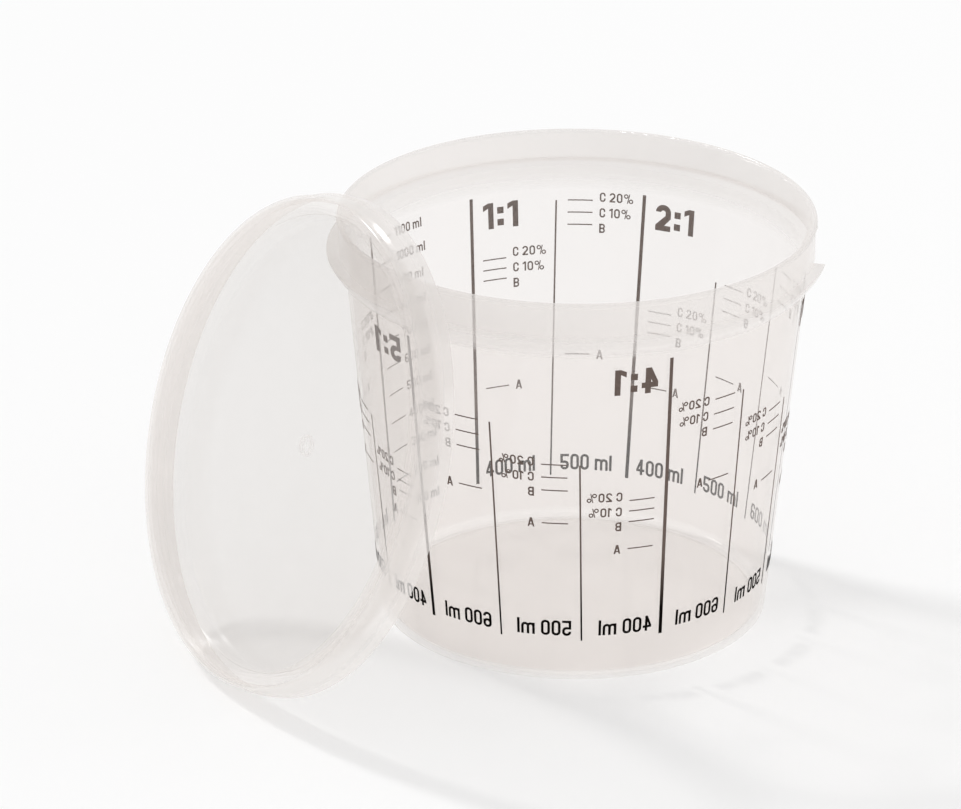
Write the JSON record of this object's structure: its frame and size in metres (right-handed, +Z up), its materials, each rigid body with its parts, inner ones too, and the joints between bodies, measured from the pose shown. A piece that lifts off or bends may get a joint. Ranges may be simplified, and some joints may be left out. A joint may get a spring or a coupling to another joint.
{
  "type": "resin mixing cup",
  "caption": "Tapered round mixing cup of clear plastic with a printed mixing scale, and its push-on lid leaning on the rim.",
  "frame": {"origin": "centre of the cup's foot, on the surface that it stands on", "axes": "+Z up along the cup's axis, the lid leans on the rim on the -X side"},
  "size_m": [0.1946, 0.1446, 0.1379],
  "materials": {
    "cup_plastic": "clear, slightly milky moulded plastic, smooth",
    "lid_plastic": "clear, slightly milky moulded plastic, smooth",
    "printed_ink": "black screen-printed ink"
  },
  "bodies": {
    "cup": {"cup_body": "cup_plastic", "scale_1_to_1": "printed_ink", "scale_2_to_1": "printed_ink", "scale_3_to_1": "printed_ink", "scale_4_to_1": "printed_ink", "scale_5_to_1": "printed_ink", "scale_millilitres": "printed_ink"},
    "lid": {"lid": "lid_plastic"}
  },
  "joints": [
    {"name": "lid_lift", "type": "slide", "parent": "cup", "child": "lid", "axis": [-0.9418, 0, 0.3363], "range_m": [0, 0.15]}
  ]
}
